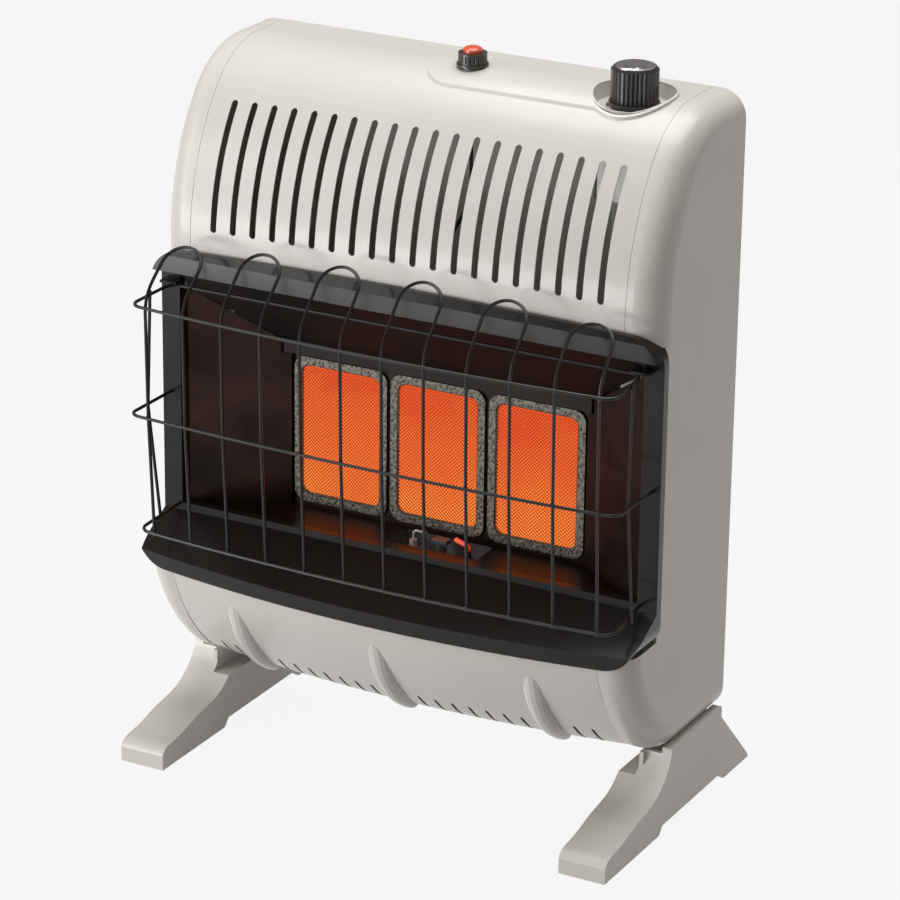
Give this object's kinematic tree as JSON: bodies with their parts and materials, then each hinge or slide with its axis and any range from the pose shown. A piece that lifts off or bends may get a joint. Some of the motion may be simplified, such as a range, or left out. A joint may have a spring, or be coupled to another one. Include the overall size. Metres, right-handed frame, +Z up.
{
  "type": "vent-free gas heater",
  "caption": "Wall or floor standing infrared gas heater: louvred sheet case, glossy bezel, glowing ceramic plaques behind a bowed wire guard, push-and-turn knob, igniter and two feet.",
  "frame": {"origin": "on the floor under the middle of the heater's bounding box", "axes": "+X to the right seen from the front, -Y to the front, +Z up"},
  "size_m": [0.528, 0.314, 0.7158],
  "materials": {
    "case_paint": "warm off-white baked paint, satin",
    "black_gloss": "black, glossy",
    "zinc": "zinc plated",
    "aluminised_steel": "dull aluminised steel",
    "reflector_steel": "polished steel with heat tint",
    "frame_steel": "stainless mesh frame",
    "ceramic_plaque": "porous ceramic, glowing orange",
    "brass": "plain brass",
    "pilot_steel": "stainless steel",
    "electrode_ceramic": "white glazed ceramic",
    "valve_aluminium": "die cast aluminium",
    "aluminium_tube": "drawn aluminium tube",
    "lead_rubber": "black silicone sleeve",
    "guard_wire": "dark enamelled steel wire",
    "knob_plastic": "black moulded plastic",
    "knob_trim": "chromed cap",
    "button_red": "red-orange moulded plastic"
  },
  "bodies": {
    "heater": {"right_side_panel": "case_paint", "left_side_panel": "case_paint", "front_cover": "case_paint", "back_panel": "case_paint", "casing_screws": "zinc", "bezel": "black_gloss", "burner_housing": "aluminised_steel", "plaque_left": "ceramic_plaque", "plaque_middle": "ceramic_plaque", "plaque_right": "ceramic_plaque", "plaque_frame_left": "frame_steel", "plaque_frame_middle": "frame_steel", "plaque_frame_right": "frame_steel", "mixer_tube": "aluminised_steel", "orifice_holder": "brass", "lower_reflector": "reflector_steel", "top_reflector": "reflector_steel", "right_reflector": "reflector_steel", "left_reflector": "reflector_steel", "pilot_bracket": "aluminised_steel", "pilot_burner": "pilot_steel", "thermocouple": "brass", "spark_electrode": "electrode_ceramic", "control_plate": "case_paint", "gas_valve": "valve_aluminium", "valve_bracket": "aluminised_steel", "knob_spring": "zinc", "igniter_collar": "knob_plastic", "piezo_body": "knob_plastic", "igniter_spring": "zinc", "pressure_regulator": "valve_aluminium", "supply_tube": "aluminium_tube", "burner_tube": "aluminium_tube", "pilot_tube": "aluminium_tube", "ignition_lead": "lead_rubber", "guard_hoop": "guard_wire", "guard_rail_middle": "guard_wire", "guard_rail_lower": "guard_wire", "guard_side_right": "guard_wire", "guard_side_left": "guard_wire", "guard_hairpin_1": "guard_wire", "guard_hairpin_2": "guard_wire", "guard_hairpin_3": "guard_wire", "guard_hairpin_4": "guard_wire", "guard_hairpin_5": "guard_wire", "guard_hairpin_6": "guard_wire", "guard_clips": "black_gloss", "right_foot": "case_paint", "left_foot": "case_paint"},
    "thrust_collar": {"thrust_collar": "brass"},
    "knob": {"control_knob": "knob_plastic", "knob_cap": "knob_trim", "valve_stem": "brass"},
    "igniter_button": {"igniter_button": "button_red"}
  },
  "joints": [
    {"name": "knob_push", "type": "slide", "parent": "heater", "child": "thrust_collar", "axis": [0, 0, -1], "range_m": [0, 0.004], "stiffness_N_per_m": 800, "springref_m": -0.002, "deforming": ["knob_spring"]},
    {"name": "knob_turn", "type": "hinge", "parent": "thrust_collar", "child": "knob", "pos_m": [0.175, 0.0375, 0.677], "axis": [0, 0, 1], "range_deg": [0, 240]},
    {"name": "igniter_press", "type": "slide", "parent": "heater", "child": "igniter_button", "axis": [0, 0, -1], "range_m": [0, 0.006], "stiffness_N_per_m": 600, "springref_m": -0.002, "deforming": ["igniter_spring"]}
  ]
}
